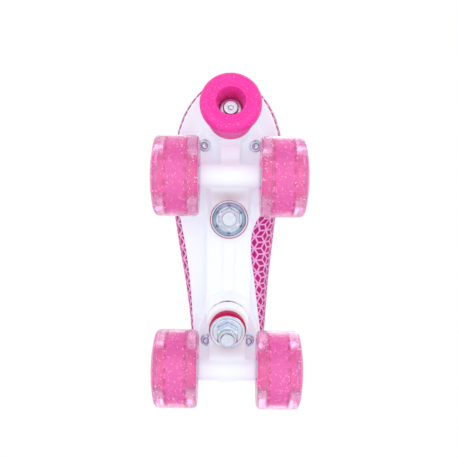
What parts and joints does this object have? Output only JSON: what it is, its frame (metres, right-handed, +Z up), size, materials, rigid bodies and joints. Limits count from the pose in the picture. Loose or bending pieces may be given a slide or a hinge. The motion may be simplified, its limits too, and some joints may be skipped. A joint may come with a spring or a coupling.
{
  "type": "quad roller skate",
  "caption": "High-top quad roller skate for the right foot: patterned fabric boot on a moulded chassis with a toe stop, sprung tilting trucks and clear free-spinning wheels.",
  "frame": {"origin": "bottom centre of the skate's box, on the plane the wheels stand on", "axes": "+Z up, toe towards -Y, heel towards +Y, arch of the foot on +X and its outer side on -X"},
  "size_m": [0.1032, 0.2293, 0.2299],
  "materials": {
    "white_nylon": "moulded white, faint lavender shade",
    "white_outsole": "moulded white sole",
    "zinc_plated_steel": "bright zinc, bluish",
    "bearing_steel": "polished",
    "clear_pink_urethane": "clear with glitter",
    "hot_pink_core": "opaque hot pink",
    "pink_rubber": "satin pink with fine glitter",
    "crimson_urethane": "satin crimson",
    "magenta_fabric": "magenta diamonds between light pink lines",
    "pink_lining": "soft brushed lining",
    "white_trim": "stitched white synthetic",
    "white_lace": "flat woven lace",
    "insole_foam": "foam with fabric face"
  },
  "bodies": {
    "boot_and_chassis": {"arch_eyestay": "white_trim", "backstay": "white_trim", "front_kingpin": "zinc_plated_steel", "front_kingpin_nut": "zinc_plated_steel", "front_left_plate_bolt": "zinc_plated_steel", "front_left_plate_nut": "zinc_plated_steel", "front_lower_cushion": "crimson_urethane", "front_lower_washer": "zinc_plated_steel", "front_pivot_cup": "crimson_urethane", "front_right_plate_bolt": "zinc_plated_steel", "front_right_plate_nut": "zinc_plated_steel", "front_upper_cushion": "crimson_urethane", "front_upper_washer": "zinc_plated_steel", "insole": "insole_foam", "lace": "white_lace", "lining": "pink_lining", "outer_eyestay": "white_trim", "outsole": "white_outsole", "plate": "white_nylon", "rear_kingpin": "zinc_plated_steel", "rear_kingpin_nut": "zinc_plated_steel", "rear_left_plate_bolt": "zinc_plated_steel", "rear_left_plate_nut": "zinc_plated_steel", "rear_lower_cushion": "crimson_urethane", "rear_lower_washer": "zinc_plated_steel", "rear_pivot_cup": "crimson_urethane", "rear_right_plate_bolt": "zinc_plated_steel", "rear_right_plate_nut": "zinc_plated_steel", "rear_upper_cushion": "crimson_urethane", "rear_upper_washer": "zinc_plated_steel", "toe_stop": "pink_rubber", "toe_stop_bolt": "zinc_plated_steel", "toe_stop_washer": "zinc_plated_steel", "tongue": "pink_lining", "upper": "magenta_fabric"},
    "front_truck": {"front_hanger": "white_nylon", "front_axle": "zinc_plated_steel", "front_left_axle_nut": "zinc_plated_steel", "front_right_axle_nut": "zinc_plated_steel"},
    "front_left_wheel": {"front_left_tyre": "clear_pink_urethane", "front_left_hub": "hot_pink_core", "front_left_inner_bearing": "bearing_steel", "front_left_outer_bearing": "bearing_steel"},
    "front_right_wheel": {"front_right_tyre": "clear_pink_urethane", "front_right_hub": "hot_pink_core", "front_right_inner_bearing": "bearing_steel", "front_right_outer_bearing": "bearing_steel"},
    "rear_truck": {"rear_hanger": "white_nylon", "rear_axle": "zinc_plated_steel", "rear_left_axle_nut": "zinc_plated_steel", "rear_right_axle_nut": "zinc_plated_steel"},
    "rear_left_wheel": {"rear_left_tyre": "clear_pink_urethane", "rear_left_hub": "hot_pink_core", "rear_left_inner_bearing": "bearing_steel", "rear_left_outer_bearing": "bearing_steel"},
    "rear_right_wheel": {"rear_right_tyre": "clear_pink_urethane", "rear_right_hub": "hot_pink_core", "rear_right_inner_bearing": "bearing_steel", "rear_right_outer_bearing": "bearing_steel"}
  },
  "joints": [
    {"name": "front_truck_tilt", "type": "hinge", "parent": "boot_and_chassis", "child": "front_truck", "pos_m": [0, -0.0587, 0.054], "axis": [0, -0.9364, 0.3509], "range_deg": [-8, 8], "stiffness_Nm_per_rad": 20, "deforming": ["front_lower_cushion", "front_upper_cushion"]},
    {"name": "front_left_wheel_spin", "type": "hinge", "parent": "front_truck", "child": "front_left_wheel", "pos_m": [0.0362, -0.0472, 0.027], "axis": [1, 0, 0], "continuous": true},
    {"name": "front_right_wheel_spin", "type": "hinge", "parent": "front_truck", "child": "front_right_wheel", "pos_m": [-0.0362, -0.0472, 0.027], "axis": [1, 0, 0], "continuous": true},
    {"name": "rear_truck_tilt", "type": "hinge", "parent": "boot_and_chassis", "child": "rear_truck", "pos_m": [0, 0.0993, 0.054], "axis": [0, 0.9364, 0.3509], "range_deg": [-8, 8], "stiffness_Nm_per_rad": 20, "deforming": ["rear_lower_cushion", "rear_upper_cushion"]},
    {"name": "rear_left_wheel_spin", "type": "hinge", "parent": "rear_truck", "child": "rear_left_wheel", "pos_m": [0.0362, 0.0878, 0.027], "axis": [1, 0, 0], "continuous": true},
    {"name": "rear_right_wheel_spin", "type": "hinge", "parent": "rear_truck", "child": "rear_right_wheel", "pos_m": [-0.0362, 0.0878, 0.027], "axis": [1, 0, 0], "continuous": true}
  ]
}
